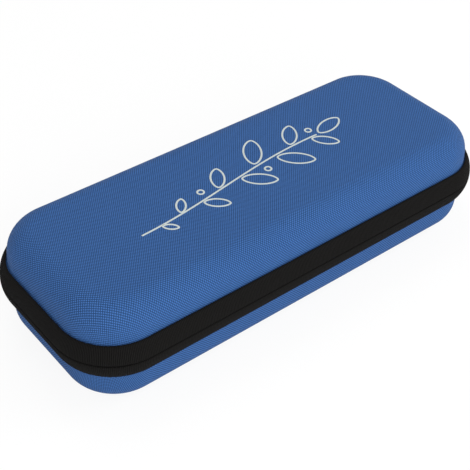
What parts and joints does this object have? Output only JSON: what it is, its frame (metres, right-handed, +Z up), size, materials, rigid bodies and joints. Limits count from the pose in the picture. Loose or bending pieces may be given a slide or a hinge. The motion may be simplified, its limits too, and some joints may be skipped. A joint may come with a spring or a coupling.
{
  "type": "stethoscope hard case",
  "caption": "Zipped hard case for a stethoscope, with two moulded shells, a fabric hinge at the back, a net pocket in the lid and a holding strap in the base.",
  "frame": {"origin": "middle of the flat underside of the base", "axes": "+X along the case to the end where the zip sliders are parked, +Y to the hinge at the back, +Z up"},
  "size_m": [0.2856, 0.113, 0.062],
  "materials": {
    "woven_shell": "plain-woven polyester, slight sheen",
    "zip_tape": "ribbed woven tape",
    "binding_tape": "folded woven tape",
    "pocket_net": "open net",
    "elastic": "ribbed elastic",
    "strap_webbing": "webbing",
    "touch_tape": "hook and loop",
    "zip_coil": "satin nylon",
    "slider_metal": "satin black",
    "grip_rubber": "matte"
  },
  "bodies": {
    "base": {"base_shell": "woven_shell", "base_binding": "binding_tape", "base_zip_tape": "zip_tape", "base_zip_coil": "zip_coil", "base_zip_stops": "slider_metal", "hinge_gusset": "zip_tape", "strap_tab": "strap_webbing", "loop_patch": "touch_tape"},
    "lid": {"lid_shell": "woven_shell", "lid_binding": "binding_tape", "lid_zip_tape": "zip_tape", "lid_zip_coil": "zip_coil", "lid_zip_stops": "slider_metal", "pocket_net": "pocket_net", "pocket_elastic": "elastic"},
    "strap": {"strap": "strap_webbing", "hook_patch": "touch_tape"},
    "rear_slider": {"rear_slider": "slider_metal"},
    "rear_pull": {"rear_pull_link": "slider_metal", "rear_pull_grip": "grip_rubber"},
    "front_slider": {"front_slider": "slider_metal"},
    "front_pull": {"front_pull_link": "slider_metal", "front_pull_grip": "grip_rubber"}
  },
  "joints": [
    {"name": "lid_hinge", "type": "hinge", "parent": "base", "child": "lid", "pos_m": [0, 0.0567, 0.0335], "axis": [-1, 0, 0], "range_deg": [0, 180], "deforming": ["hinge_gusset"]},
    {"name": "strap_lift", "type": "hinge", "parent": "base", "child": "strap", "pos_m": [0, 0.02, 0.0049], "axis": [-1, 0, 0], "range_deg": [0, 120]},
    {"name": "rear_slide", "type": "slide", "parent": "base", "child": "rear_slider", "axis": [0, 1, 0], "range_m": [0, 0.0095]},
    {"name": "rear_pull_swing", "type": "hinge", "parent": "rear_slider", "child": "rear_pull", "pos_m": [0.1437, 0.0065, 0.0335], "axis": [0, -1, 0], "range_deg": [0, 180]},
    {"name": "front_slide", "type": "slide", "parent": "base", "child": "front_slider", "axis": [0, -1, 0], "range_m": [0, 0.0095]},
    {"name": "front_pull_swing", "type": "hinge", "parent": "front_slider", "child": "front_pull", "pos_m": [0.1437, -0.0065, 0.0335], "axis": [0, -1, 0], "range_deg": [0, 180]}
  ]
}
